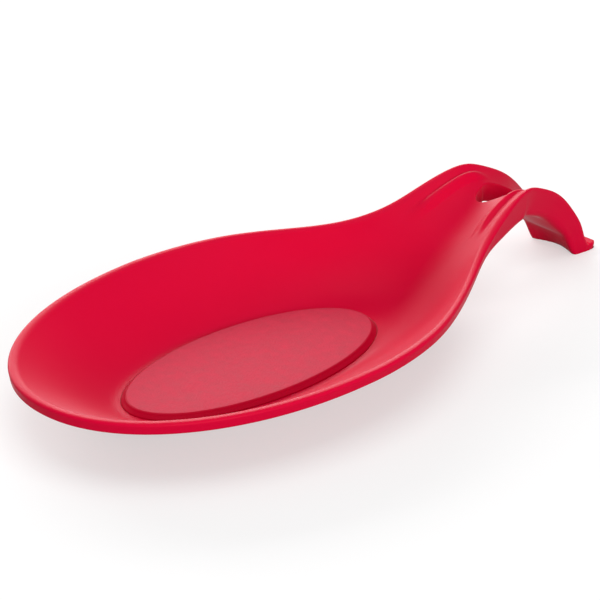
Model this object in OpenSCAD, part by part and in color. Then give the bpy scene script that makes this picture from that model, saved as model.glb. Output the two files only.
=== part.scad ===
// Spoon rest: an egg-shaped dish that runs on into an arched handle, with a raised oval pad.
// X runs from the nose of the dish (-X) to the foot of the handle (+X), Y is across, Z is up.
// The dish stands on its flat base and on the foot at the end of the handle, both at Z = 0.

/* [Overall] */
// Length from the nose of the dish to the end of the foot
overall_l = 200; // [180:1:240]
// Widest outer width of the dish
bowl_w = 93.5; // [78:0.5:112]
// Height of the dish's rim
rim_h = 18; // [15:0.5:22]
// Height of the handle's edges at the crest
crest_h = 29.4; // [25:0.2:35]

/* [Dish] */
// Distance from the nose to the widest place
nose_l = 70; // [60:1:80]
// How far the rim dips at the nose
nose_dip = 1.2; // [0:0.1:2]
// How full the nose is in plan: 2 is an ellipse, more is squarer
nose_full = 2.08; // [1.9:0.02:2.4]
// Width of the rim's top
rim_t = 2.1; // [1.4:0.1:3]
// Height of the band round the outside of the rim
rim_band = 3.0; // [2.4:0.1:4]
// How far the band leans in towards its lower edge
rim_lean = 0.3; // [0:0.1:0.6]
// Thickness of the flat floor
floor_t = 3.1; // [2.6:0.1:4]
// Flat margin of the floor round the pad
floor_margin = 0.4; // [0.2:0.1:2]
// How far the flat base stops short of the flat floor at its nose end
base_inset_nose = 7.5; // [4:0.1:10]
// How far the flat base stops short of the flat floor at its sides
base_inset_side = 2.7; // [1:0.1:4]

/* [Pad] */
// Length of the pad's top
pad_l = 81.8; // [66:0.2:90]
// Width of the pad's top
pad_w = 37.8; // [30:0.2:46]
// Distance from the nose to the middle of the pad
pad_x = 71.7; // [66:0.1:76]
// Height of the pad above the floor
pad_h = 1.4; // [0.8:0.1:2.4]
// How far the pad's wall spreads from top to foot
pad_draft = 1.5; // [0.4:0.1:2]

/* [Handle] */
// Distance from the crest back to the end of the foot
crest_to_end = 36.5; // [32:0.5:42]
// Width over the edges at the crest
crest_w = 26.4; // [22:0.2:32]
// Depth of the gutter between the edges at the crest
gutter_d = 4.2; // [3:0.1:5]
// Thickness of the middle of the handle at the crest
crest_wall = 4.3; // [3.2:0.1:5]
// Height of the side bands at the crest
crest_band = 9.6; // [8:0.1:11]
// How far the side bands lean in at the crest
crest_lean = 0.9; // [0:0.1:2]
// How far the lower edges of the side bands are rolled in at the crest
crest_roll = 3.6; // [1:0.1:4.5]
// Height of the ribs that run along the gutter
rib_h = 1.1; // [0.4:0.1:1.6]
// Length of the hanging hole
hole_l = 18.3; // [14:0.1:22]
// Width of the hanging hole
hole_w = 9; // [6:0.1:11]
// Distance from the crest to the middle of the hanging hole, towards the foot
hole_from_crest = 4.2; // [2:0.1:6]

/* [Foot] */
// Width of the foot
foot_w = 18.7; // [15:0.1:22]
// Thickness of the foot
foot_t = 2; // [1.6:0.1:3]
// Corner radius of the foot
foot_r = 3; // [2:0.1:5]
// Thickness of the middle of the handle just above the foot
tail_wall = 2.4; // [2:0.1:3]
// Height of the side bands just above the foot
tail_band = 4.9; // [4:0.1:6]
// How far the side bands lean in just above the foot
tail_lean = 0.6; // [0:0.1:1]
// How far the lower edges of the side bands are rolled in just above the foot
tail_roll = 1.2; // [0.4:0.1:2]
// Flat part of the foot beyond the handle's edges
toe_l = 4.5; // [3.5:0.1:8]

/* [Hidden] */

crest_x = overall_l - crest_to_end;
toe_x = overall_l - toe_l;
floor_a = pad_l / 2 + pad_draft + floor_margin;
floor_b = pad_w / 2 + pad_draft + floor_margin;
floor_end = pad_x + floor_a;
base_a = floor_a - base_inset_nose / 2;
base_b = floor_b - base_inset_side;
base_x = pad_x + base_inset_nose / 2;
crest_floor = crest_h - gutter_d;

// Number of rounds of points along the nose, the neck, the hole, the tail and the foot's corner
nose_steps = 16;
neck_steps = 22;
hole_steps = 12;
tail_steps = 16;
corner_steps = 4;
// Number of points across half of the upper and the lower surface
top_steps = 14;
low_steps = 7;
// Number of points on the roll of the lower edge
chin_steps = 3;
// How gently the walls start to rise from the flats: near 0 is a straight wall, over 1 a parabola
inner_ease = 0.12;
under_ease = 0.15;
crest_ease = 3;
// How far the rim's corners are rounded
edge_round = 0.4;
// Number of points round the pad
oval_steps = 72;
// Place of the ribs, as a share of the gutter's half width, and their half width as such a share
rib_at = 0.67;
rib_half = 0.15;

// Neck, from the widest place to the crest: how far along, how much of the narrowing is left,
// and how much of the climb is done
neck_at = [0, 0.26, 0.45, 0.62, 0.76, 0.88, 1];
neck_left = [1, 0.894, 0.665, 0.393, 0.194, 0.086, 0];
neck_climb = [0, 0.015, 0, 0.03, 0.32, 0.73, 1];
// Tail, from the crest down to the foot: how far along, how much of the narrowing is left,
// and how much of the height is left
tail_at = [0.25, 0.47, 0.64, 0.775, 0.88, 0.947, 1];
tail_left = [0.53, 0.35, 0.25, 0.17, 0.08, 0.02, 0];
tail_high = [0.95, 0.82, 0.66, 0.47, 0.284, 0.093, 0];
crest_knot = len(neck_at) - 1;
toe_knot = crest_knot + len(tail_at);
last_knot = toe_knot + 1;

knot_x = concat(
    [for (f = neck_at) nose_l + f * (crest_x - nose_l)],
    [for (f = tail_at) crest_x + f * (toe_x - crest_x)],
    [overall_l - foot_r]
);
knot_w = concat(
    [for (f = neck_left) crest_w / 2 + f * (bowl_w - crest_w) / 2],
    [for (f = tail_left) foot_w / 2 + f * (crest_w - foot_w) / 2],
    [foot_w / 2]
);
knot_z = concat(
    [for (f = neck_climb) rim_h + f * (crest_h - rim_h)],
    [for (f = tail_high) foot_t + f * (crest_h - foot_t)],
    [foot_t]
);

// Slopes of a smooth curve through evenly numbered knots: elimination down the list, then back up
function eliminate(p, level, i, c, d) =
    i == len(p) - 1 ? [c, d] :
    let (ci = 1 / (4 - c[i - 1]), di = (3 * (p[i + 1] - p[i - 1]) - d[i - 1]) * ci)
    eliminate(p, level, i + 1, concat(c, [ci]), concat(d, [di]));
function back_up(c, d, i, m) =
    i < 0 ? m : back_up(c, d, i - 1, concat([d[i] - c[i] * m[0]], m));
function slopes(p, level) =
    let (
        n = len(p) - 1,
        first_c = level ? 0 : 0.5,
        first_d = level ? 0 : 1.5 * (p[1] - p[0]),
        cd = eliminate(p, level, 1, [first_c], [first_d]),
        last = (3 * (p[n] - p[n - 1]) - cd[1][n - 1]) / (2 - cd[0][n - 1])
    )
    back_up(cd[0], cd[1], n - 1, [last]);
function hermite(a, b, ma, mb, t) =
    a * (2 * t * t * t - 3 * t * t + 1) + ma * (t * t * t - 2 * t * t + t)
    + b * (3 * t * t - 2 * t * t * t) + mb * (t * t * t - t * t);
function curve(p, m, s) =
    let (i = min(floor(s), len(p) - 2)) hermite(p[i], p[i + 1], m[i], m[i + 1], s - i);
function ease(t) = let (u = min(max(t, 0), 1)) u * u * (3 - 2 * u);
function square(t) = t * t;
function mix(a, b, t) = a + (b - a) * t;

slope_x = slopes(knot_x, false);
slope_w = slopes(knot_w, true);
slope_z = slopes(knot_z, true);

// A value that is one size along the dish, another at the crest and a third at the foot
function along(dish_v, crest_v, foot_v, s) =
    s <= crest_knot ? mix(dish_v, crest_v, ease((s / crest_knot - 0.6) / 0.4))
    : mix(foot_v, crest_v, square(max(0, 1 - (s - crest_knot) / (toe_knot - crest_knot))));

// Direction square to the handle in the side view: straight up until the crest, then turning
function outward(s) =
    s <= crest_knot || s >= last_knot ? [0, 1] :
    let (
        step = 0.05,
        dx = curve(knot_x, slope_x, s + step) - curve(knot_x, slope_x, s - step),
        dz = curve(knot_z, slope_z, s + step) - curve(knot_z, slope_z, s - step)
    )
    [-dz, dx] / norm([dx, dz]);

// Height of the middle of the neck, above or below the sheet: a smooth climb from the flat
function climb(x, z0, z1) = mix(z0, z1, ease((x - floor_end) / (crest_x - floor_end)));
function neck_top(x) = climb(x, floor_t, crest_floor);
function neck_low(x) = climb(x, 0, crest_floor - crest_wall);

// Share of a line from the middle (x0) out to an edge (x1, y1) that lies on an oval flat
function flat_share(x0, x1, y1, flat_x, a, b) =
    let (
        rx = x1 - x0,
        qa = square(rx / a) + square(y1 / b),
        qb = 2 * rx * (x0 - flat_x) / square(a),
        qc = square((x0 - flat_x) / a) - 1
    )
    qc >= 0 ? 0 : (sqrt(qb * qb - 4 * qa * qc) - qb) / (2 * qa);
// Height along that line: level on the flat, then a rise that grows steeper up to the edge
function rise(t, gentle) = t <= 0 ? 0 : t * t * (1 + gentle) / (t + gentle);
function rib(v, s) =
    let (d = min(1, abs(v - rib_at) / rib_half))
    rib_h * square(1 - d * d) * ease(s - crest_knot + 2.4) * (1 - ease((s - crest_knot + 0.3) / 1.3));

// Half width of the hanging hole at the station s
function hole_half(s) =
    let (t = (curve(knot_x, slope_x, s) - hole_x) / (hole_l / 2))
    s < hole_first || s > hole_last ? 0 : hole_w / 2 * sqrt(max(0, 1 - t * t));

// Half of one round of points, from the middle of the upper surface over the rim to the middle
// of the lower surface. edge is the outer top corner, mid_x the place on the centre line, and up
// the direction square to the handle in the side view.
function half_round(edge, mid_x, s, up, hole) =
    let (
        tail = s > crest_knot,
        band = along(rim_band, crest_band, tail_band, s),
        lean = along(rim_lean, crest_lean, tail_lean, s),
        roll = along(edge_round, crest_roll, tail_roll, s),
        ray = [edge[0] - mid_x, edge[1]],
        in_dir = tail ? [0, -1] : -ray / norm(ray),
        inner = edge + rim_t * [in_dir[0], in_dir[1], 0],
        low = [
            edge[0] + in_dir[0] * lean - up[0] * band,
            edge[1] + in_dir[1] * lean,
            edge[2] - up[1] * band
        ],
        fade = ease((s - crest_knot) / (toe_knot - crest_knot)),
        wall = along(crest_wall, crest_wall, tail_wall, s),
        top_mid = tail ? [edge[0], edge[2]] - gutter_d * (1 - fade) * up
            : [mid_x, neck_top(mid_x)],
        low_mid = tail ? top_mid - up * wall : [mid_x, neck_low(mid_x)],
        on_floor = tail ? 0
            : flat_share(mid_x, inner[0], inner[1], pad_x, floor_a, floor_b),
        on_base = tail ? 0
            : flat_share(mid_x, low[0], low[1], base_x, base_a, base_b),
        k_top = along(inner_ease, crest_ease, crest_ease, s),
        k_low = along(under_ease, crest_ease, crest_ease, s),
        upper = [for (j = [0:top_steps])
            let (
                v = mix(hole > 0 ? hole / inner[1] : 0, 1, j / top_steps),
                g = rise((v - on_floor) / (1 - on_floor), k_top),
                lift = rib(v, s) - (j == top_steps ? edge_round : 0)
            )
            [
                mix(top_mid[0], inner[0], tail ? g : v) + up[0] * lift,
                inner[1] * v,
                mix(top_mid[1], inner[2], g) + up[1] * lift
            ]
        ],
        reach = norm([low[0] - mid_x, low[1]]),
        under = [for (j = [0:low_steps])
            let (
                v = mix(hole > 0 ? hole / low[1] : 0, 1 - roll / reach, 1 - j / low_steps),
                g = rise((v - on_base) / (1 - on_base), k_low)
            )
            [
                mix(low_mid[0], low[0], tail ? g : v),
                low[1] * v,
                max(0, mix(low_mid[1], low[2], g))
            ]
        ],
        up3 = [up[0], 0, up[1]],
        brow = edge - edge_round * up3,
        chin = low + roll * up3
    )
    concat(
        upper,
        [for (q = [0.75, 0.25]) mix(edge, inner, q)],
        [brow],
        [for (q = [0:chin_steps - 1])
            let (
                t = q / chin_steps,
                p = mix(mix(chin, low, t), mix(low, under[0], t), t)
            )
            [p[0], p[1], max(0, p[2])]
        ],
        under
    );

// The rounds: a fan round the nose, square cuts along the body, and the foot's corner
function nose_round(a) =
    let (
        along_x = pow(cos(a), 2 / nose_full),
        along_y = pow(sin(a), 2 / nose_full),
        edge = [nose_l * (1 - along_x), bowl_w / 2 * along_y, rim_h - nose_dip * along_x],
        mid_x = mix(nose_l, base_x - 0.85 * base_a, cos(a))
    )
    half_round(edge, mid_x, 0, [0, 1], 0);
function body_round(s) =
    let (
        edge = [curve(knot_x, slope_x, s), curve(knot_w, slope_w, s), curve(knot_z, slope_z, s)]
    )
    half_round(edge, edge[0], s, outward(s), hole_half(s));
function corner_round(a) =
    let (
        side = foot_w / 2 - foot_r * (1 - cos(a)),
        edge = [overall_l - foot_r * (1 - sin(a)), side, foot_t]
    )
    half_round(edge, edge[0], last_knot, [0, 1], 0);

// Station at the distance x from the nose, by halving the range
function station(x, lo, hi, n) =
    let (mid = (lo + hi) / 2)
    n == 0 ? mid : curve(knot_x, slope_x, mid) < x ? station(x, mid, hi, n - 1)
    : station(x, lo, mid, n - 1);
hole_x = crest_x + hole_from_crest;
hole_first = station(hole_x - hole_l / 2, 0, last_knot, 20);
hole_last = station(hole_x + hole_l / 2, 0, last_knot, 20);

neck_stations = [for (i = [1:neck_steps]) hole_first * i / neck_steps];
hole_stations = [for (i = [1:hole_steps - 1])
    station(hole_x - hole_l / 2 * cos(180 * i / hole_steps), 0, last_knot, 20)
];
tail_stations = [for (i = [0:tail_steps]) mix(hole_last, last_knot, i / tail_steps)];
stations = concat(neck_stations, hole_stations, tail_stations);
rounds = concat(
    [for (i = [0:nose_steps]) nose_round(90 * i / nose_steps)],
    [for (s = stations) body_round(s)],
    [for (i = [1:corner_steps]) corner_round(90 * i / corner_steps)]
);
// First and last round of the hanging hole
hole_start = nose_steps + neck_steps;
hole_end = hole_start + hole_steps;

// Closes the rounds into a skin. Each round is one half's points and then their mirror images.
// The first round is folded flat on the centre plane, and every round outside the hole shares
// its points on that plane. The last round is closed by a cap.
module skin(halves) {
    m = len(halves[0]) - 1;
    n = len(halves) - 1;
    brow = top_steps + 3;
    points = [for (h = halves) each concat(h, [for (p = h) [p[0], -p[1], p[2]]])];
    function open(i) = i > hole_start && i < hole_end;
    function shared(i, j) = i == 0 || ((j == 0 || j == m) && !open(i));
    function at(i, j, far) = 2 * (m + 1) * i + j + (far && !shared(i, j) ? m + 1 : 0);
    function quad(a, b, c, d) = [
        for (t = [[a, b, c], [a, c, d]])
            if (t[0] != t[1] && t[1] != t[2] && t[2] != t[0]) t
    ];
    function flip(faces) = [for (t = faces) [t[2], t[1], t[0]]];
    function side(i, j, k, far) = j < brow
        ? quad(at(i, j, far), at(i, k, far), at(i + 1, k, far), at(i + 1, j, far))
        : quad(at(i, k, far), at(i + 1, k, far), at(i + 1, j, far), at(i, j, far));
    function strip(i, j, k) = concat(side(i, j, k, false), flip(side(i, j, k, true)));
    sides = [for (i = [0:n - 1]) for (j = [0:m - 1]) each strip(i, j, j + 1)];
    hole = [for (i = [hole_start:hole_end - 1]) each strip(i, m, 0)];
    // the end is flat and upright: its upper edge is tied to its lower edge by a zigzag
    ratio = (m - brow) / brow;
    function below(j) = m - floor(j * ratio);
    half_cap = concat(
        [for (j = [0:brow - 1]) [j, j + 1, below(j)]],
        [for (j = [0:brow - 1]) if (below(j + 1) != below(j) && j + 1 != below(j + 1))
            [j + 1, below(j + 1), below(j)]
        ]
    );
    cap = concat(
        [for (t = half_cap) [for (j = t) at(n, j, false)]],
        flip([for (t = half_cap) [for (j = t) at(n, j, true)]])
    );
    polyhedron(points, concat(sides, hole, cap), convexity = 8);
}

// Upright solid on an oval of the given full length and width
module oval(l, w, h) {
    linear_extrude(height = h) scale([l / w, 1]) circle(d = w, $fn = oval_steps);
}

module dish() {
    color("crimson") translate([-overall_l / 2, 0, 0]) skin(rounds);
}

module rest_pad() {
    thin = 0.1;
    foot_l = pad_l + 2 * pad_draft;
    foot_b = pad_w + 2 * pad_draft;
    bevel = 0.25;
    color("indianred") translate([pad_x - overall_l / 2, 0, floor_t]) hull() {
        oval(foot_l, foot_b, thin);
        translate([0, 0, pad_h - bevel - thin])
            oval(pad_l + 2 * bevel, pad_w + 2 * bevel, thin);
        translate([0, 0, pad_h - thin]) oval(pad_l, pad_w, thin);
    }
}

dish();
rest_pad();
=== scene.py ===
import bmesh
import bpy
import math
import numpy as np
from collections import namedtuple
from mathutils import Matrix, Vector


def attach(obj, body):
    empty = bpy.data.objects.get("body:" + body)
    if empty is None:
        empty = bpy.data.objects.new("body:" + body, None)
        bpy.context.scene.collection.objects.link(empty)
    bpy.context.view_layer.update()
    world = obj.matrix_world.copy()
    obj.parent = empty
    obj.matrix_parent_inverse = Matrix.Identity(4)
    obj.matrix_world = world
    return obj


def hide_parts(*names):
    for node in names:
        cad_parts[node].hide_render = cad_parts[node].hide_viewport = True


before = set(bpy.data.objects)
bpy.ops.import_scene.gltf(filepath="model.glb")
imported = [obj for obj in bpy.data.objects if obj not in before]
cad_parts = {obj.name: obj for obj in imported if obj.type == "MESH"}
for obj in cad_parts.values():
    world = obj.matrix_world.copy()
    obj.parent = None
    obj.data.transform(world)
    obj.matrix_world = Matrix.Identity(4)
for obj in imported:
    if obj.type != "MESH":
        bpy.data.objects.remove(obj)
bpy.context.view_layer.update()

# Sizes are in mm, and MM turns them into Blender's metres. The main ones are the CAD source's own.
# While the pieces are worked out, x runs from the nose's tip to the foot's end. The frame has its origin in
# the middle of the length.
MM = 0.001

# ---------------------------------------------------------------- the dish's outline
LENGTH = 200.0
BOWL_W = 93.5
RIM_H = 18.0
NOSE_L = 70.0  # from the nose's tip to the bowl's widest place
NOSE_DIP = 1.2  # the rim is this much lower at the nose's tip
NOSE_FULL = 2.08  # 2 gives the nose's half an oval, and more makes it fuller
CREST_X = LENGTH - 36.5
CREST_W = 26.4
CREST_H = 29.4
TOE_X = LENGTH - 4.5  # here the tail meets the foot
FOOT_W = 18.7
FOOT_T = 2.0
FOOT_R = 3.5  # radius of the foot's corners, seen from above
TOE_ROLL = 1.5  # radius of the foot's upper edge at its end

# Knots of the outline. AT is the share of the way along the neck or the tail. LEFT is how much
# of the extra width is left there, and CLIMB and HIGH are shares of the height.
NECK_AT = [0, 0.26, 0.45, 0.62, 0.76, 0.88, 1]
NECK_LEFT = [1, 0.898, 0.676, 0.403, 0.194, 0.086, 0]
NECK_CLIMB = [0, 0.015, 0, 0.03, 0.32, 0.73, 1]
TAIL_AT = [0.25, 0.47, 0.64, 0.775, 0.88, 0.947, 1]
TAIL_LEFT = [0.6, 0.38, 0.25, 0.17, 0.08, 0.02, 0]
TAIL_HIGH = [0.932, 0.80, 0.637, 0.452, 0.275, 0.093, 0]

# ---------------------------------------------------------------- the raised pad and the flat floor below it
PAD_L = 81.8
PAD_W = 37.8
PAD_X = 71.7
PAD_H = 1.4
PAD_DRAFT = 1.5  # the pad's wall leans out by this much
PAD_MARGIN = 0.4  # flat floor beyond the pad's wall
PAD_FILLET = 0.28  # height of the small fillet at the wall's foot
PAD_FILLET_OUT = 0.8 * PAD_DRAFT  # the fillet ends this far outside the top's oval
PAD_EDGE_OUT = 0.32  # the wall ends this far outside the top's oval,
PAD_EDGE_DOWN = 0.42  # and this far below the top, and the rounded edge starts there
PAD_EDGE_BEND = 0.12  # the rounded edge bends round a corner this far outside the oval,
PAD_EDGE_IN = 0.55  # and ends this far inside it
PAD_EDGE_N = 6
PAD_RINGS = (1.5, 4, 8, 12, 15.5, 17.5)  # distances of the flat top's rings from its edge
PAD_N = 240  # points round a ring
PAD_FLAT = 0.02  # faces this little below the top still have the top's matt look
FLOOR_T = 3.1
FLOOR_A = PAD_L / 2 + PAD_DRAFT + PAD_MARGIN
FLOOR_B = PAD_W / 2 + PAD_DRAFT + PAD_MARGIN
FLOOR_END = PAD_X + FLOOR_A
BASE_INSET_A = 3.75  # the flat base under the dish is smaller than the floor by these
BASE_INSET_B = 2.7
BASE_A = FLOOR_A - BASE_INSET_A
BASE_B = FLOOR_B - BASE_INSET_B
BASE_X = FLOOR_END - BASE_A
NOSE_FAN = 0.85  # the round at the nose's tip starts this far out on the base's oval, as a share of BASE_A
NOSE_FAN_X = BASE_X - NOSE_FAN * BASE_A

# An oval here is the place of its middle, its two half sizes and its height.
FLOOR_OVAL = (PAD_X, FLOOR_A, FLOOR_B, FLOOR_T)
BASE_OVAL = (BASE_X, BASE_A, BASE_B, 0.0)

# ---------------------------------------------------------------- the skin's section
RIM_T = 2.1  # width of the rim's top
TAIL_RIM_T = 0.9
RIM_CORNER = 0.9  # how far the rim's inner corner is rounded off, or this share of a narrow rim:
RIM_CORNER_SHARE = 0.8
BROW = 0.8  # height of the rounding at the rim's outer corner
RIM_FLAT = (0.42, 0.58)  # the flat part of the rim's top, between its two corners
BAND = (3.0, 10.4, 5.7)  # height of the outer band, at the dish, the crest and the tail
LEAN = (0.3, 0.9, 0.6)  # how far the band leans in at its bottom
ROLL = (0.5, 3.6, 2.2)  # size of the rounding between the band and the underside
CREST_WALL = 4.3  # thickness of the handle in its middle
TAIL_WALL = 3.5
GUTTER_D = 4.8  # depth of the channel in the handle
INNER_EASE = 0.12  # a low value gives a straight wall with a bend at its foot, and a high one a round wall
UNDER_EASE = 0.15
CREST_EASE = 3.0
BOWL_END = 145.0  # the bowl's form has wholly passed into the neck's here

# ---------------------------------------------------------------- ribs and hanging hole
RIB_H = 1.4
RIB_AT = 0.70  # as a share of the way from the middle to the rim
RIB_HALF = 0.15
HOLE_L = 24.0
HOLE_W = 10.0
HOLE_X = CREST_X + 6.8
HOLE_START = HOLE_X - HOLE_L / 2
HOLE_STOP = HOLE_X + HOLE_L / 2
HOLE_ROLL = 0.35  # radius of the hole's edges
HOLE_END_STEPS = (0.05, 0.12, 0.22, 0.36, 0.55, 0.8)  # extra rounds are this far beyond the hole's ends

# ---------------------------------------------------------------- stations, which count the outline's knots
CREST_K = len(NECK_AT) - 1
TOE_K = CREST_K + len(TAIL_AT)
LAST_K = TOE_K + 1
ROUND_K = 0.08 * CREST_K  # the section starts to turn from a flat floor into a round channel
SWELL_K = 0.6 * CREST_K  # band, lean and roll start to change towards the crest's
THIN_K = (CREST_K - 1.2, CREST_K + 0.4)  # the rim narrows between these two
RIB_START_K = (CREST_K - 1.95, CREST_K - 0.95)
RIB_STOP_K = (CREST_K - 0.3, CREST_K + 1.0)
GUTTER_K = CREST_K + 2.6  # the channel starts to fade out
TANGENT_STEP = 0.05  # the outline's direction is taken between two points this far to either side
HALVINGS = 40

# ---------------------------------------------------------------- how fine the meshes are
# The first five count the rounds in each stretch, and the next four the points in parts of one round.
NOSE_N = 72
NECK_N = 83
HOLE_N = 44
TAIL_N = 71
TOE_N = 20
TOP_N = 72
LOW_N = 36
CORNER_N = 8
BAND_N = 8
RIM_PACK = 1.6  # above 1, the points of the top lie closer together near the rim
WELD = 0.002  # points closer together than this become one
SHARP_ANGLE = 40  # in degrees, above which an edge isn't shaded smooth
TINY = 1e-9  # keeps divisions by zero out


def mix(a, b, t):
    return a + (b - a) * t


def ramp(value, start, stop):
    """0 before start, 1 after stop, and a smooth passage between them."""
    t = min(max((value - start) / (stop - start), 0.0), 1.0)
    return t * t * (3 - 2 * t)


def bend(a, b, c, n):
    """n points of the curve that rounds the corner b between a and c, without its last point."""
    t = np.arange(n)[:, None] / n
    return a * (1 - t) ** 2 + 2 * b * t * (1 - t) + c * t**2


# ---------------------------------------------------------------- the outline as smooth curves
def slopes(knots, level):
    """Slopes at the knots of a smooth curve, which starts level or else straight, and ends straight."""
    n = len(knots)
    weights = np.zeros((n, n))
    pull = np.zeros(n)
    for i in range(1, n - 1):
        weights[i, i - 1:i + 2] = 1, 4, 1
        pull[i] = 3 * (knots[i + 1] - knots[i - 1])
    weights[0, 0] = 1
    if not level:
        weights[0, 1] = 0.5
        pull[0] = 1.5 * (knots[1] - knots[0])
    weights[-1, -2:] = 1, 2
    pull[-1] = 3 * (knots[-1] - knots[-2])
    return np.linalg.solve(weights, pull)


def smooth_curve(knots, level):
    """A function of the station, through all the knots."""
    slope = slopes(knots, level)

    def at(s):
        i = min(int(s), len(knots) - 2)
        t = s - i
        return (knots[i] * (2 * t**3 - 3 * t**2 + 1) + slope[i] * (t**3 - 2 * t**2 + t)
                + knots[i + 1] * (3 * t**2 - 2 * t**3) + slope[i + 1] * (t**3 - t**2))

    return at


rim_x = smooth_curve(
    [mix(NOSE_L, CREST_X, f) for f in NECK_AT] + [mix(CREST_X, TOE_X, f) for f in TAIL_AT]
    + [LENGTH - FOOT_R], False)
rim_y = smooth_curve(
    [mix(CREST_W, BOWL_W, f) / 2 for f in NECK_LEFT] + [mix(FOOT_W, CREST_W, f) / 2 for f in TAIL_LEFT]
    + [FOOT_W / 2], True)
rim_z = smooth_curve(
    [mix(RIM_H, CREST_H, f) for f in NECK_CLIMB] + [mix(FOOT_T, CREST_H, f) for f in TAIL_HIGH]
    + [FOOT_T], True)


def station(x):
    """The station of the outline at x, by halving the range again and again."""
    low, high = 0.0, float(LAST_K)
    for _ in range(HALVINGS):
        middle = (low + high) / 2
        if rim_x(middle) < x:
            low = middle
        else:
            high = middle
    return (low + high) / 2


def outward(s):
    """The direction, in x and z, that is up for a round: square to the tail, and plain up elsewhere."""
    if s <= CREST_K or s >= LAST_K:
        return np.array([0.0, 1.0])
    dx = rim_x(s + TANGENT_STEP) - rim_x(s - TANGENT_STEP)
    dz = rim_z(s + TANGENT_STEP) - rim_z(s - TANGENT_STEP)
    return np.array([-dz, dx]) / math.hypot(dx, dz)


def down_tail(crest_size, foot_size, s):
    """A size that changes from the crest to the foot."""
    tail_left = max(0.0, 1 - (s - CREST_K) / (TOE_K - CREST_K))
    return mix(foot_size, crest_size, tail_left**2)


def along(sizes, s):
    """A size that changes from the dish to the crest and on to the foot."""
    dish_size, crest_size, foot_size = sizes
    if s > CREST_K:
        return down_tail(crest_size, foot_size, s)
    return mix(dish_size, crest_size, ramp(s, SWELL_K, CREST_K))


# ---------------------------------------------------------------- one round of the dish's skin
# A side is the top or the underside of a round: the x and z of its middle, its far point at the rim, the
# flat oval that it rises from, and how round it rises.
Side = namedtuple("Side", "middle far oval roundness is_top")


def flat_share(mid_x, far, oval):
    """How much of the way from the round's middle to the point far lies on a flat oval."""
    oval_x, a, b, _ = oval
    run = far[0] - mid_x
    square = (run / a) ** 2 + (far[1] / b) ** 2
    linear = 2 * run * (mid_x - oval_x) / a**2
    rest = ((mid_x - oval_x) / a) ** 2 - 1
    if rest >= 0:
        return 0.0
    return (math.sqrt(linear * linear - 4 * square * rest) - linear) / (2 * square)


def rise(t, roundness):
    """The wall's climb from 0 at its foot to 1 at the rim."""
    t = np.maximum(t, 0.0)
    return t * t * (1 + roundness) / (t + roundness)


def rib(v, s):
    """Height of the grip rib over the share v of the way to the rim."""
    off = np.minimum(1, np.abs(v - RIB_AT) / RIB_HALF)
    return RIB_H * (1 - off * off) ** 2 * ramp(s, *RIB_START_K) * (1 - ramp(s, *RIB_STOP_K))


def hole_roll(x, y):
    """How far a surface rolls towards the hole's wall, by its distance from the hole's oval."""
    a, b = HOLE_L / 2, HOLE_W / 2
    rho = np.sqrt(((x - HOLE_X) / a) ** 2 + (y / b) ** 2)
    steepness = np.sqrt(((x - HOLE_X) / a**2) ** 2 + (y / b**2) ** 2) / np.maximum(rho, TINY)
    gap = np.clip((rho - 1) / np.maximum(steepness, TINY), 0, HOLE_ROLL)
    return HOLE_ROLL - np.sqrt(np.maximum(0, HOLE_ROLL**2 - (HOLE_ROLL - gap) ** 2))


def surface(side, v, mid_x, s):
    """Points of one side, at the shares v of the way from its middle to its far point."""
    far = side.far
    up = outward(s)
    share = flat_share(mid_x, far, side.oval)
    climbed = rise((v - share) / (1 - share), side.roundness)
    x = mix(side.middle[0], far[0], climbed if s > CREST_K else v)
    y = far[1] * v
    z = mix(side.middle[1], far[2], climbed)
    # In the bowl a point's height goes by how far past the flat oval it lies. Further on, the neck's
    # own form takes over.
    if NOSE_L < mid_x < BOWL_END:
        oval_x, a, b, oval_z = side.oval
        past_oval = b * np.maximum(0, np.sqrt(((mid_x - oval_x) / a) ** 2 + (y / b) ** 2) - 1)
        to_rim = (1 - v) * far[1]
        bowl_climbed = rise(past_oval / (past_oval + to_rim + TINY), side.roundness)
        z = mix(mix(oval_z, far[2], bowl_climbed), z, ramp(mid_x, FLOOR_END, BOWL_END))
    roll = hole_roll(mid_x, y)
    lift = rib(v, s) - roll if side.is_top else roll
    return np.stack([x + up[0] * lift, y, z + up[1] * lift], 1)


def middles(edge, mid_x, s):
    """The middle of the top and of the underside, each as x and z."""
    if s > CREST_K:
        up = outward(s)
        depth = GUTTER_D * (1 - ramp(s, GUTTER_K, TOE_K))
        top = np.array([edge[0], edge[2]]) - depth * up
        return top, top - down_tail(CREST_WALL, TAIL_WALL, s) * up
    passage = ramp(mid_x, FLOOR_END, CREST_X)
    top_z = mix(FLOOR_T, CREST_H - GUTTER_D, passage)
    low_z = mix(0, CREST_H - GUTTER_D - CREST_WALL, passage)
    return (mid_x, top_z), (mid_x, low_z)


def reach(far, mid_x, hole, rounding):
    """Where a side starts and stops, as shares of the way from the middle to its far point."""
    start = hole / far[1] if hole else 0.0
    return start, 1 - rounding / math.hypot(far[0] - mid_x, far[1])


def cut_foot(points, mid_x):
    """Rounds off the foot's end and keeps every point above the ground."""
    to_end = max(LENGTH - mid_x, 0.0)
    if to_end < TOE_ROLL:
        cap = FOOT_T - TOE_ROLL + math.sqrt(TOE_ROLL**2 - (TOE_ROLL - to_end) ** 2)
        points[:, 2] = np.minimum(points[:, 2], cap)
    points[:, 2] = np.maximum(points[:, 2], 0.0)
    return points


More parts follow.
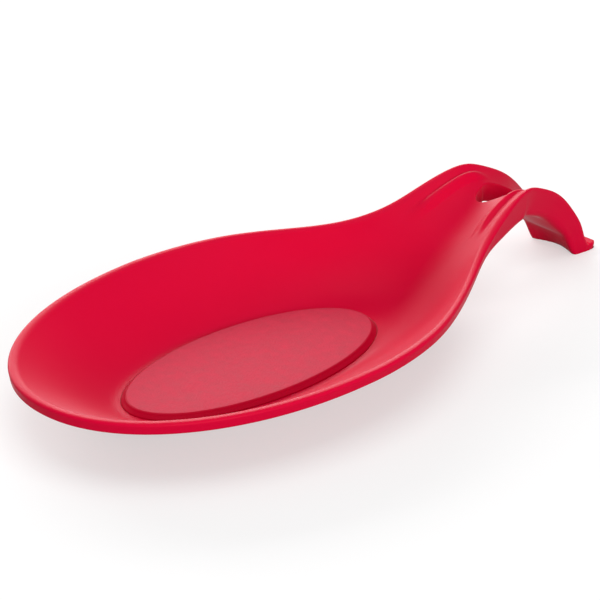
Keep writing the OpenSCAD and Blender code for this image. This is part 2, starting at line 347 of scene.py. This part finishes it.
def half_round(edge, mid_x, s, hole=0.0):
    """Half a section of the skin: the top from the middle out, the rim, the band and the underside back in.

    edge is the rim's outer corner, and hole is half the hole's width at this round."""
    up_x, up_z = outward(s)
    up = np.array([up_x, 0.0, up_z])
    inward = np.array([mid_x - edge[0], -edge[1], 0.0])
    inward = inward / np.linalg.norm(inward)
    rim_t = mix(RIM_T, TAIL_RIM_T, ramp(s, *THIN_K))
    inner = edge + rim_t * inward
    low = edge + along(LEAN, s) * inward - along(BAND, s) * up
    roll = along(ROLL, s)
    brow = edge - BROW * up
    chin = low + roll * up
    rim_in, rim_out = (mix(inner, edge, f) for f in RIM_FLAT)

    rounder = ramp(s, ROUND_K, CREST_K)
    top_middle, low_middle = middles(edge, mid_x, s)
    top_side = Side(top_middle, inner, FLOOR_OVAL, mix(INNER_EASE, CREST_EASE, rounder), True)
    low_side = Side(low_middle, low, BASE_OVAL, mix(UNDER_EASE, CREST_EASE, rounder), False)
    even = np.linspace(0, 1, TOP_N + 1)
    packed = mix(even, 1 - (1 - even) ** RIM_PACK, 0.5)
    corner = min(RIM_CORNER, RIM_CORNER_SHARE * rim_t)
    top_start, top_stop = reach(inner, mid_x, hole, corner)
    low_start, low_stop = reach(low, mid_x, hole, roll)
    top = surface(top_side, mix(top_start, top_stop, packed), mid_x, s)
    under = surface(low_side, np.linspace(low_stop, low_start, LOW_N + 1), mid_x, s)

    down_band = np.linspace(0, 1, BAND_N, endpoint=False)[:, None]
    points = np.concatenate([
        top,
        bend(top[-1], inner, rim_in, CORNER_N)[1:],
        bend(rim_out, edge, brow, CORNER_N),
        mix(brow, chin, down_band),
        bend(chin, low, under[0], CORNER_N),
        under])
    return cut_foot(points, mid_x)


# ---------------------------------------------------------------- all rounds
# A round is kept as its points and whether the hole cuts it.
def nose_rounds():
    """Half sections that fan out round the nose, from its tip to the bowl's widest place."""
    rounds = []
    for i in range(NOSE_N + 1):
        turn = math.radians(90 * i / NOSE_N)
        back = max(0.0, math.cos(turn)) ** (2 / NOSE_FULL)
        side = math.sin(turn) ** (2 / NOSE_FULL)
        edge = np.array([NOSE_L * (1 - back), BOWL_W / 2 * side, RIM_H - NOSE_DIP * back])
        rounds.append((half_round(edge, mix(NOSE_L, NOSE_FAN_X, math.cos(turn)), 0), False))
    return rounds


def body_round(s, is_open=False):
    x = rim_x(s)
    edge = np.array([x, rim_y(s), rim_z(s)])
    across = math.sqrt(max(0.0, 1 - ((x - HOLE_X) / (HOLE_L / 2)) ** 2))
    return half_round(edge, x, s, HOLE_W / 2 * across if is_open else 0.0), is_open


def body_rounds():
    """Half sections down the neck, past the hole and down the tail, closer together at the hole's ends."""
    neck_end = station(HOLE_START - HOLE_END_STEPS[-1])
    tail_start = station(HOLE_STOP + HOLE_END_STEPS[-1])
    rounds = [body_round(s) for s in np.linspace(0, neck_end, NECK_N + 1)[1:-1]]
    rounds += [body_round(station(HOLE_START - step)) for step in reversed(HOLE_END_STEPS)]
    rounds.append(body_round(station(HOLE_START)))
    for i in range(1, HOLE_N):
        x = HOLE_X - HOLE_L / 2 * math.cos(math.pi * i / HOLE_N)
        rounds.append(body_round(station(x), is_open=True))
    rounds.append(body_round(station(HOLE_STOP)))
    rounds += [body_round(station(HOLE_STOP + step)) for step in HOLE_END_STEPS]
    rounds += [body_round(s) for s in np.linspace(tail_start, LAST_K, TAIL_N + 1)[1:]]
    return rounds


def toe_rounds():
    """Half sections across the foot's rounded corners."""
    rounds = []
    for i in range(1, TOE_N + 1):
        turn = math.radians(90 * i / TOE_N)
        x = LENGTH - FOOT_R * (1 - math.sin(turn))
        edge = np.array([x, FOOT_W / 2 - FOOT_R * (1 - math.cos(turn)), FOOT_T])
        rounds.append((half_round(edge, x, LAST_K), False))
    return rounds


# ---------------------------------------------------------------- the two pieces
def new_piece(name, mesh):
    piece = bpy.data.objects.new(name, mesh)
    bpy.context.scene.collection.objects.link(piece)
    return piece


def skin_faces(rounds):
    """Faces between neighbouring rounds in both halves, with the hole's wall, and the foot's flat end.

    The second half mirrors the first, so its faces run the other way round."""
    per_round = len(rounds[0][0])

    def corner(half, i, j):
        return (half * len(rounds) + i) * per_round + j % per_round

    faces = []
    for half in (0, 1):
        for i in range(len(rounds) - 1):
            at_hole = rounds[i][1] or rounds[i + 1][1]
            for j in range(per_round if at_hole else per_round - 1):
                face = [corner(half, i, j), corner(half, i, j + 1),
                        corner(half, i + 1, j + 1), corner(half, i + 1, j)]
                faces.append(face[::-1] if half == 1 else face)
    last = len(rounds) - 1
    near_end = [corner(0, last, j) for j in range(per_round)]
    far_end = [corner(1, last, j) for j in range(per_round - 2, 0, -1)]
    return faces + [near_end + far_end]


def build_dish():
    """The dish as one closed skin. Its far half mirrors the near one, and the weld joins them."""
    rounds = nose_rounds() + body_rounds() + toe_rounds()
    verts = []
    for side in (1, -1):
        for points, _ in rounds:
            verts += [((x - LENGTH / 2) * MM, side * y * MM, z * MM) for x, y, z in points]
    mesh = bpy.data.meshes.new("dish_skin")
    mesh.from_pydata(verts, [], skin_faces(rounds))
    work = bmesh.new()
    work.from_mesh(mesh)
    bmesh.ops.remove_doubles(work, verts=work.verts, dist=WELD * MM)
    bmesh.ops.recalc_face_normals(work, faces=work.faces)
    work.to_mesh(mesh)
    work.free()
    mesh.shade_smooth()
    mesh.set_sharp_from_angle(angle=math.radians(SHARP_ANGLE))
    return new_piece("dish_skin", mesh)


def pad_profile():
    """The pad's section from the floor up and in, as distances out from the top's oval and heights."""
    fillet_top = np.array([PAD_FILLET_OUT, PAD_FILLET])
    wall_top = np.array([PAD_EDGE_OUT, PAD_H - PAD_EDGE_DOWN])
    edge_end = np.array([-PAD_EDGE_IN, PAD_H])
    wall = [mix(fillet_top, wall_top, t) for t in (0, 1 / 3, 2 / 3)]
    edge = bend(wall_top, np.array([PAD_EDGE_BEND, PAD_H]), edge_end, PAD_EDGE_N)
    return [(PAD_DRAFT, 0.0), *wall, *edge, edge_end] + [(-ring, PAD_H) for ring in PAD_RINGS]


def build_pad():
    """A low oval plinth with a flat top, a rolled edge, a drafted wall and a small fillet at its foot."""
    profile = pad_profile()
    verts = []
    faces = [list(range(PAD_N))[::-1]]
    for out, z in profile:
        for k in range(PAD_N):
            turn = 2 * math.pi * k / PAD_N
            x = PAD_X - LENGTH / 2 + (PAD_L / 2 + out) * math.cos(turn)
            y = (PAD_W / 2 + out) * math.sin(turn)
            verts.append((x * MM, y * MM, (FLOOR_T + z) * MM))
    last_ring = len(profile) - 1
    for ring in range(last_ring):
        for k in range(PAD_N):
            here = ring * PAD_N + k
            beside = ring * PAD_N + (k + 1) % PAD_N
            faces.append([here, beside, beside + PAD_N, here + PAD_N])
    faces.append([last_ring * PAD_N + k for k in range(PAD_N)])
    mesh = bpy.data.meshes.new("pad_plinth")
    mesh.from_pydata(verts, [], faces)
    mesh.update()
    mesh.shade_smooth()
    # The top's faces take the first material. The wall's faces take the second, whose darker colour is
    # painted shade.
    flat_from = (FLOOR_T + PAD_H - PAD_FLAT) * MM
    for face in mesh.polygons:
        face.material_index = 0 if face.center.z > flat_from else 1
    return new_piece("pad_plinth", mesh)


# ---------------------------------------------------------------- materials
def link(tree, source, target):
    """Links the output of one node to the input of another, each given as a node and a socket."""
    from_node, from_socket = source
    to_node, to_socket = target
    tree.links.new(from_node.outputs[from_socket], to_node.inputs[to_socket])


def new_material(name):
    """A material with an empty node tree that ends in an output node."""
    material = bpy.data.materials.new(name)
    material.use_nodes = True
    tree = material.node_tree
    tree.nodes.clear()
    return material, tree, tree.nodes.new("ShaderNodeOutputMaterial")


def noise(tree, coordinates, scale, detail, roughness):
    """A noise texture over the object's own coordinates."""
    node = tree.nodes.new("ShaderNodeTexNoise")
    node.inputs["Scale"].default_value = scale
    node.inputs["Detail"].default_value = detail
    node.inputs["Roughness"].default_value = roughness
    link(tree, (coordinates, "Object"), (node, "Vector"))
    return node


def silicone(name, colour, roughness, specular, sheen, mottle, mottle_scale, grain, grain_scale):
    """Dyed silicone with a pale sheen, faint clouds in its colour and gloss, and a fine grain."""
    material, tree, output = new_material(name)
    shader = tree.nodes.new("ShaderNodeBsdfPrincipled")
    shader.inputs["Specular IOR Level"].default_value = specular
    shader.inputs["IOR"].default_value = 1.42
    shader.inputs["Sheen Weight"].default_value = sheen
    shader.inputs["Sheen Roughness"].default_value = 0.25
    shader.inputs["Subsurface Weight"].default_value = 0.06
    shader.inputs["Subsurface Radius"].default_value = (1.0, 0.12, 0.16)
    shader.inputs["Subsurface Scale"].default_value = 0.0025
    coordinates = tree.nodes.new("ShaderNodeTexCoord")
    clouds = noise(tree, coordinates, mottle_scale, detail=5, roughness=0.62)
    tint = tree.nodes.new("ShaderNodeMixRGB")
    tint.inputs["Color1"].default_value = (*(c * (1 - mottle) for c in colour), 1)
    tint.inputs["Color2"].default_value = (*(c * (1 + mottle) + 0.03 * mottle for c in colour), 1)
    gloss = tree.nodes.new("ShaderNodeMapRange")
    gloss.inputs["From Min"].default_value = 0.3
    gloss.inputs["From Max"].default_value = 0.7
    gloss.inputs["To Min"].default_value = roughness - 0.04
    gloss.inputs["To Max"].default_value = roughness + 0.05
    grains = noise(tree, coordinates, grain_scale, detail=4, roughness=0.5)
    bump = tree.nodes.new("ShaderNodeBump")
    bump.inputs["Strength"].default_value = grain
    bump.inputs["Distance"].default_value = 0.0002
    link(tree, (clouds, "Fac"), (tint, "Fac"))
    link(tree, (tint, "Color"), (shader, "Base Color"))
    link(tree, (clouds, "Fac"), (gloss, "Value"))
    link(tree, (gloss, "Result"), (shader, "Roughness"))
    link(tree, (grains, "Fac"), (bump, "Height"))
    link(tree, (bump, "Normal"), (shader, "Normal"))
    link(tree, (shader, "BSDF"), (output, "Surface"))
    return material


def dish_silicone():
    return silicone("silicone_satin", colour=(0.64, 0.0003, 0.033), roughness=0.4, specular=0.06, sheen=0.19,
                    mottle=0.03, mottle_scale=40, grain=0.10, grain_scale=2600)


# A darker copy of the dish's silicone for the pad's wall. Its lower colour is painted shade, as the wall is
# the same silicone as the dish.
def pad_wall_painted_shade_silicone():
    return silicone("silicone_painted_shade", colour=(0.52, 0.0002, 0.027), roughness=0.45, specular=0.05, sheen=0.12,
                    mottle=0.03, mottle_scale=60, grain=0.10, grain_scale=2600)


def pad_top_silicone():
    return silicone("silicone_matt", colour=(0.60, 0.022, 0.060), roughness=0.6, specular=0.12, sheen=0.25,
                    mottle=0.22, mottle_scale=330, grain=0.5, grain_scale=1800)


def floor_white():
    """White where the camera sees it, with the shadow still on it, plain grey as a source of bounced light,
    and clear from below."""
    material, tree, output = new_material("floor_white")
    light_path = tree.nodes.new("ShaderNodeLightPath")
    facing = tree.nodes.new("ShaderNodeNewGeometry")
    grey = tree.nodes.new("ShaderNodeBsdfDiffuse")
    grey.inputs["Color"].default_value = (0.5, 0.5, 0.5, 1)
    white = tree.nodes.new("ShaderNodeBsdfDiffuse")
    white.inputs["Color"].default_value = (0.95, 0.95, 0.95, 1)
    glow = tree.nodes.new("ShaderNodeEmission")
    glow.inputs["Color"].default_value = (1, 1, 1, 1)
    clear = tree.nodes.new("ShaderNodeBsdfTransparent")
    seen = tree.nodes.new("ShaderNodeMixShader")
    seen.inputs[0].default_value = 0.5
    by_ray = tree.nodes.new("ShaderNodeMixShader")
    by_side = tree.nodes.new("ShaderNodeMixShader")
    link(tree, (white, 0), (seen, 1))
    link(tree, (glow, 0), (seen, 2))
    link(tree, (light_path, "Is Camera Ray"), (by_ray, 0))
    link(tree, (grey, 0), (by_ray, 1))
    link(tree, (seen, 0), (by_ray, 2))
    link(tree, (facing, "Backfacing"), (by_side, 0))
    link(tree, (by_ray, 0), (by_side, 1))
    link(tree, (clear, 0), (by_side, 2))
    link(tree, (by_side, 0), (output, "Surface"))
    return material


# ---------------------------------------------------------------- the studio
FLOOR_SIZE = 6
FLOOR_GAP = 0.05  # the floor lies this far below the object


def build_floor():
    bpy.ops.mesh.primitive_plane_add(size=FLOOR_SIZE, location=(0, 0, -FLOOR_GAP * MM))
    plane = bpy.context.object
    plane.name = "studio_floor"
    plane.data.materials.append(floor_white())
    return plane


def light_world():
    """A dim, even light all round, and plain white behind the object."""
    world = bpy.data.worlds.new("studio")
    bpy.context.scene.world = world
    world.use_nodes = True
    tree = world.node_tree
    tree.nodes.clear()
    output = tree.nodes.new("ShaderNodeOutputWorld")
    light_path = tree.nodes.new("ShaderNodeLightPath")
    lit = tree.nodes.new("ShaderNodeBackground")
    lit.inputs["Color"].default_value = (1, 1, 1, 1)
    lit.inputs["Strength"].default_value = 0.35
    backdrop = tree.nodes.new("ShaderNodeBackground")
    backdrop.inputs["Color"].default_value = (1, 1, 1, 1)
    backdrop.inputs["Strength"].default_value = 1.0
    by_ray = tree.nodes.new("ShaderNodeMixShader")
    link(tree, (light_path, "Is Camera Ray"), (by_ray, 0))
    link(tree, (lit, 0), (by_ray, 1))
    link(tree, (backdrop, 0), (by_ray, 2))
    link(tree, (by_ray, 0), (output, "Surface"))


def add_lamp(name, place, target, size, watts):
    """A rectangular soft lamp at a place in metres, turned to its target."""
    light = bpy.data.lights.new(name, "AREA")
    light.shape = "RECTANGLE"
    light.size, light.size_y = size
    light.energy = watts
    lamp = bpy.data.objects.new(name, light)
    bpy.context.scene.collection.objects.link(lamp)
    lamp.location = place
    lamp.rotation_euler = (Vector(target) - Vector(place)).to_track_quat("-Z", "Y").to_euler()


def light_studio():
    """The back lamp stands across from the camera, so it gives the near slopes their pale veil."""
    add_lamp("top_soft", place=(0.0, 0.0, 1.1), target=(0, 0, 0), size=(1.0, 1.0), watts=5.2)
    add_lamp("front_soft", place=(-0.4, -1.0, 0.33), target=(0, 0, 0.01), size=(1.0, 0.5), watts=8.5)
    add_lamp("back_soft", place=(0.4, 1.0, 0.40), target=(0.02, 0, 0.01), size=(1.2, 0.45), watts=13.5)


CAMERA_TURN = 43.496  # in degrees: 0 looks along +Y, and 90 along +X
CAMERA_DOWN = 25.567  # in degrees
CAMERA_AT_X = -28.29  # the pad's middle in the frame, on the ground
CAMERA_RIGHT = 12.774  # from there the camera stands this far to its own right,
CAMERA_UP = 19.650  # this far up and this far back
CAMERA_BACK = 800.73
CAMERA_LENS = 180.81
CAMERA_SENSOR = 36


def add_camera():
    """The camera of the photo, as it was solved from the two ovals, the level base and the outline."""
    turn = math.radians(CAMERA_TURN)
    down = math.radians(CAMERA_DOWN)
    right = Vector((math.cos(turn), -math.sin(turn), 0))
    ahead = Vector((math.sin(turn) * math.cos(down), math.cos(turn) * math.cos(down), -math.sin(down)))
    upward = right.cross(ahead)
    aim = Vector((CAMERA_AT_X, 0, 0))
    place = (aim + CAMERA_RIGHT * right + CAMERA_UP * upward - CAMERA_BACK * ahead) * MM
    data = bpy.data.cameras.new("photo_camera")
    data.sensor_width = CAMERA_SENSOR
    data.lens = CAMERA_LENS
    data.clip_start = 0.05
    data.clip_end = 20
    camera = bpy.data.objects.new("photo_camera", data)
    bpy.context.scene.collection.objects.link(camera)
    camera.matrix_world = Matrix((
        (right.x, upward.x, -ahead.x, place.x),
        (right.y, upward.y, -ahead.y, place.y),
        (right.z, upward.z, -ahead.z, place.z),
        (0, 0, 0, 1)))
    bpy.context.scene.camera = camera


# ---------------------------------------------------------------- build
dish = build_dish()
dish.data.materials.append(dish_silicone())
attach(dish, "root")
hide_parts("dish")

pad = build_pad()
pad.data.materials.append(pad_top_silicone())
# The wall's material, darkened with painted shade.
pad.data.materials.append(pad_wall_painted_shade_silicone())
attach(pad, "root")
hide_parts("rest_pad")

floor = build_floor()
light_world()
light_studio()
add_camera()
bpy.context.scene.view_settings.view_transform = "Standard"

bpy.context.view_layer.update()
